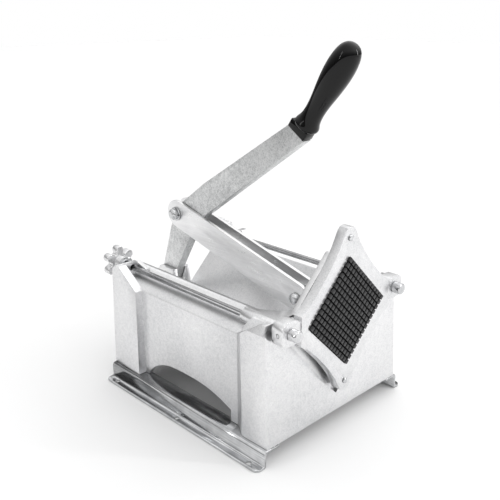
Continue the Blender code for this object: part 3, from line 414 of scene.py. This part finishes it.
# how bright the room is, from level to overhead, from left to right and from front to back
SHADE_UP = [(0.0, 0.16), (0.25, 0.5), (0.55, 1.0), (1.0, 1.0)]
SHADE_ACROSS = [(0.0, 0.5), (0.38, 0.74), (0.6, 1.0), (1.0, 1.0)]
SHADE_BACK = [(0.0, 1.0), (0.45, 0.95), (0.75, 0.75), (1.0, 0.6)]
LIGHT_AIM = (0.0, 0.0, 0.15)
# place and size in metres, and power in watts
STRIP_LIGHTS = {
    "front_strip": ((0.9, -1.4, 0.8), (0.1, 1.0), 5.0),
    "left_strip": ((-1.6, 0.3, 0.9), (0.05, 0.9), 1.5),
}
VIEW_AZIMUTH = -44.25    # degrees round from the front
VIEW_ELEVATION = 19.17   # degrees above level
VIEW_ROLL = -0.33        # degrees
VIEW_TARGET = (-0.0018, -0.00675, 0.1778)
VIEW_DISTANCE = 0.8283
LENS_MM = 50.3136
SENSOR_MM = 36.0


def build_floor():
    """Matt pale floor, wide enough to have no edge in view."""
    bm = bmesh.new()
    bmesh.ops.create_grid(bm, x_segments=1, y_segments=1, size=FLOOR_HALF)
    floor = as_piece(bm, "floor")
    bpy.context.scene.collection.objects.link(floor)
    material, _, shader, _ = new_material("matt_pale_paint")
    shader.inputs["Base Color"].default_value = linear("#f2f2f2")
    shader.inputs["Roughness"].default_value = 0.75
    floor.data.materials.append(material)


def build_world():
    """White to the camera; to the metal, a bright ceiling over a darker room."""
    world = bpy.data.worlds.new("studio")
    world.use_nodes = True
    tree = world.node_tree
    background = tree.nodes["Background"]
    way = add_node(tree, "ShaderNodeTexCoord").outputs["Generated"]
    split = add_node(tree, "ShaderNodeSeparateXYZ", links={"Vector": way})
    room = add_node(
        tree, "ShaderNodeValToRGB", links={"Fac": split.outputs["Z"]}, stops=SHADE_UP,
    ).outputs["Color"]
    for axis, stops in (("X", SHADE_ACROSS), ("Y", SHADE_BACK)):
        # a direction runs from -1 to 1, and the stops from 0 to 1
        share = add_node(
            tree, "ShaderNodeMath", {"operation": "MULTIPLY_ADD"}, {1: 0.5, 2: 0.5},
            {0: split.outputs[axis]},
        )
        shade = add_node(
            tree, "ShaderNodeValToRGB", links={"Fac": share.outputs["Value"]}, stops=stops,
        )
        room = add_node(
            tree, "ShaderNodeMix", {"data_type": "RGBA", "blend_type": "MULTIPLY"},
            {"Factor": 1.0}, {"A": room, "B": shade.outputs["Color"]},
        ).outputs["Result"]
    white = (1.0 / CEILING, 1.0 / CEILING, 1.0 / CEILING, 1.0)
    seen = add_node(tree, "ShaderNodeLightPath").outputs["Is Camera Ray"]
    pick = add_node(
        tree, "ShaderNodeMix", {"data_type": "RGBA"}, {"B": white}, {"Factor": seen, "A": room},
    )
    tree.links.new(pick.outputs["Result"], background.inputs["Color"])
    background.inputs["Strength"].default_value = CEILING
    bpy.context.scene.world = world


def build_lights():
    """Narrow strips that draw bright lines on the rods, rails and grip."""
    for name, (spot, size, power) in STRIP_LIGHTS.items():
        data = bpy.data.lights.new(name, "AREA")
        data.shape = "RECTANGLE"
        data.size, data.size_y = size
        data.energy = power
        light = bpy.data.objects.new(name, data)
        bpy.context.scene.collection.objects.link(light)
        light.location = spot
        aim = Vector(LIGHT_AIM) - Vector(spot)
        light.rotation_euler = aim.to_track_quat("-Z", "Y").to_euler()


def build_camera():
    """The camera, front left and a little above, barely rolled."""
    azimuth = math.radians(VIEW_AZIMUTH)
    elevation = math.radians(VIEW_ELEVATION)
    roll = math.radians(VIEW_ROLL)
    back = Vector((
        math.sin(azimuth) * math.cos(elevation),
        -math.cos(azimuth) * math.cos(elevation),
        math.sin(elevation),
    ))
    right = Vector((math.cos(azimuth), math.sin(azimuth), 0.0))
    up = back.cross(right)
    turned_right = right * math.cos(roll) + up * math.sin(roll)
    turned_up = up * math.cos(roll) - right * math.sin(roll)
    data = bpy.data.cameras.new("camera")
    data.lens = LENS_MM
    data.sensor_width = SENSOR_MM
    data.clip_end = 50.0
    camera = bpy.data.objects.new("camera", data)
    bpy.context.scene.collection.objects.link(camera)
    turn = Matrix((turned_right, turned_up, back)).transposed().to_4x4()
    spot = Vector(VIEW_TARGET) + back * VIEW_DISTANCE
    camera.matrix_world = Matrix.Translation(spot) @ turn
    bpy.context.scene.camera = camera


build_floor()
build_world()
build_lights()
build_camera()
bpy.context.scene.view_settings.view_transform = "Standard"
